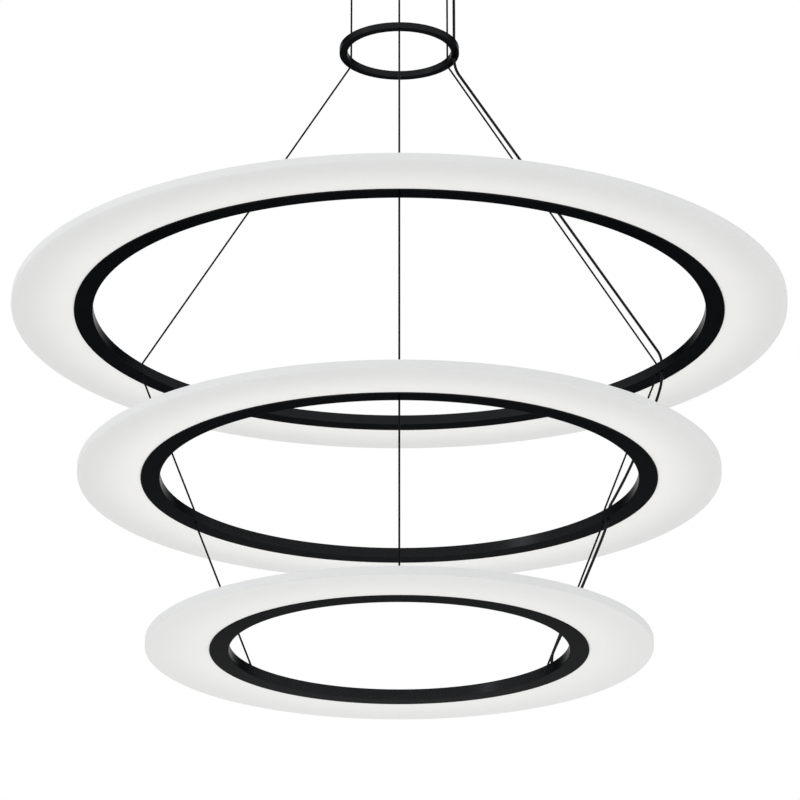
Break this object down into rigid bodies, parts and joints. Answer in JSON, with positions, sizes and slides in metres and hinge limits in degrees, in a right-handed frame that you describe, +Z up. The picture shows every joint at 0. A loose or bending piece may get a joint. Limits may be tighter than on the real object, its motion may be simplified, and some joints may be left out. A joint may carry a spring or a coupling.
{
  "type": "led ring chandelier",
  "caption": "Pendant light of flat white lit rings with black inner hoops, stepped smaller downwards on steel cables under a small spreader ring and a round ceiling canopy.",
  "frame": {"origin": "centre of the ceiling plate's upper face, which lies against the ceiling", "axes": "+Z up, towards the ceiling; the object hangs below the origin. -Y is the side of the picture's camera, where one of the cables runs; +X is to the camera's right, and the ceiling plate's two slots lie along X"},
  "size_m": [0.9671, 0.9672, 0.9964],
  "materials": {
    "plate_steel": "zinc-plated, dull",
    "black_painted": "satin black powder coat",
    "black_aluminium": "satin black anodised",
    "black_lid": "satin black anodised",
    "screw_black": "black oxide",
    "screw_zinc": "zinc-plated",
    "earth_brass": "bright",
    "driver_case": "fine-grained white",
    "terminal_plastic": "off-white nylon",
    "lead_jacket": "matt black jacket",
    "gland_nylon": "black nylon",
    "gripper_metal": "satin nickel",
    "nut_metal": "nickel",
    "plunger_metal": "satin nickel",
    "spring_steel": "spring steel",
    "cable_steel": "fine stranded steel with a thin black coating, satin",
    "cord_jacket": "satin black jacket",
    "anchor_aluminium": "machined",
    "strip_board": "white board with yellowish lamps",
    "guide_acrylic": "clear polished acrylic",
    "white_diffuser": "white, semi-matt, lets light through",
    "white_cover": "white, semi-matt",
    "tap_plastic": "white nylon"
  },
  "bodies": {
    "ceiling": {"ceiling_plate": "plate_steel", "canopy_shell": "black_painted", "canopy_screws": "screw_black", "led_driver": "driver_case", "driver_screws": "screw_zinc", "driver_leads": "lead_jacket", "terminal_block": "terminal_plastic", "earth_screw": "earth_brass", "cord_gland": "gland_nylon", "gland_nut": "gland_nylon", "gripper_barrels": "gripper_metal", "gripper_nuts": "nut_metal", "gripper_spring_1": "spring_steel", "gripper_spring_2": "spring_steel", "gripper_spring_3": "spring_steel", "upper_cables": "cable_steel", "upper_cord": "cord_jacket"},
    "gripper_sleeve_1": {"gripper_plunger_1": "plunger_metal"},
    "gripper_sleeve_2": {"gripper_plunger_2": "plunger_metal"},
    "gripper_sleeve_3": {"gripper_plunger_3": "plunger_metal"},
    "pendant": {"spreader_ring": "black_aluminium", "spreader_screws": "screw_black", "cone_cables": "cable_steel", "cone_cord": "cord_jacket"},
    "top_tier": {"top_hoop": "black_aluminium", "top_lid": "black_lid", "top_lid_screws": "screw_black", "top_anchors": "anchor_aluminium", "top_cable_screws": "screw_black", "top_led_strip": "strip_board", "top_light_guide": "guide_acrylic", "top_diffuser": "white_diffuser", "top_back_cover": "white_cover", "top_wire_tap": "tap_plastic", "middle_cables": "cable_steel", "middle_cord": "cord_jacket"},
    "middle_tier": {"middle_hoop": "black_aluminium", "middle_lid": "black_lid", "middle_lid_screws": "screw_black", "middle_anchors": "anchor_aluminium", "middle_cable_screws": "screw_black", "middle_led_strip": "strip_board", "middle_light_guide": "guide_acrylic", "middle_diffuser": "white_diffuser", "middle_back_cover": "white_cover", "middle_wire_tap": "tap_plastic", "lower_cables": "cable_steel", "lower_cord": "cord_jacket"},
    "bottom_tier": {"bottom_hoop": "black_aluminium", "bottom_lid": "black_lid", "bottom_lid_screws": "screw_black", "bottom_anchors": "anchor_aluminium", "bottom_cable_screws": "screw_black", "bottom_led_strip": "strip_board", "bottom_light_guide": "guide_acrylic", "bottom_diffuser": "white_diffuser", "bottom_back_cover": "white_cover", "bottom_wire_tap": "tap_plastic", "bottom_cable_ends": "cable_steel"}
  },
  "joints": [
    {"name": "height_adjust", "type": "slide", "parent": "ceiling", "child": "pendant", "axis": [0, 0, 1], "range_m": [0, 0.085], "deforming": ["upper_cables", "upper_cord"]},
    {"name": "top_tier_adjust", "type": "slide", "parent": "pendant", "child": "top_tier", "axis": [0, 0, 1], "range_m": [0, 0.08], "deforming": ["cone_cables", "cone_cord"]},
    {"name": "middle_tier_adjust", "type": "slide", "parent": "top_tier", "child": "middle_tier", "axis": [0, 0, 1], "range_m": [0, 0.08], "deforming": ["middle_cables", "middle_cord"]},
    {"name": "bottom_tier_adjust", "type": "slide", "parent": "middle_tier", "child": "bottom_tier", "axis": [0, 0, 1], "range_m": [0, 0.08], "deforming": ["lower_cables", "lower_cord"]},
    {"name": "gripper_release_1", "type": "slide", "parent": "ceiling", "child": "gripper_sleeve_1", "axis": [0, 0, 1], "range_m": [0, 0.003], "stiffness_N_per_m": 1200, "springref_m": -0.002, "deforming": ["gripper_spring_1"]},
    {"name": "gripper_release_2", "type": "slide", "parent": "ceiling", "child": "gripper_sleeve_2", "axis": [0, 0, 1], "range_m": [0, 0.003], "stiffness_N_per_m": 1200, "springref_m": -0.002, "deforming": ["gripper_spring_2"]},
    {"name": "gripper_release_3", "type": "slide", "parent": "ceiling", "child": "gripper_sleeve_3", "axis": [0, 0, 1], "range_m": [0, 0.003], "stiffness_N_per_m": 1200, "springref_m": -0.002, "deforming": ["gripper_spring_3"]}
  ]
}
